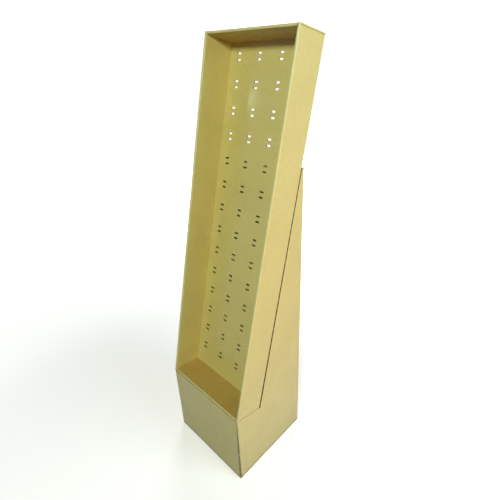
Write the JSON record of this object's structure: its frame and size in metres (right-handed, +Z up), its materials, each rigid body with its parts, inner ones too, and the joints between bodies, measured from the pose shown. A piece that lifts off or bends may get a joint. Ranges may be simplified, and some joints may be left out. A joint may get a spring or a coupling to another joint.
{
  "type": "cardboard display stand",
  "caption": "Folded corrugated floor stand: a leaning open tray with a slotted back panel for hooks, on a tall folded base.",
  "frame": {"origin": "centre of the base's footprint, on the floor", "axes": "+Z up, -Y out of the open front of the tray, X across the width"},
  "size_m": [0.4, 0.4898, 1.693],
  "materials": {
    "tray_board": "satin coated corrugated board",
    "base_board": "satin coated corrugated board",
    "inner_board": "plain brown corrugated board"
  },
  "bodies": {
    "root": {"display_tray": "tray_board", "base_wrap": "base_board", "tray_cradle": "inner_board", "back_tie": "inner_board", "base_floor": "inner_board"}
  },
  "joints": []
}
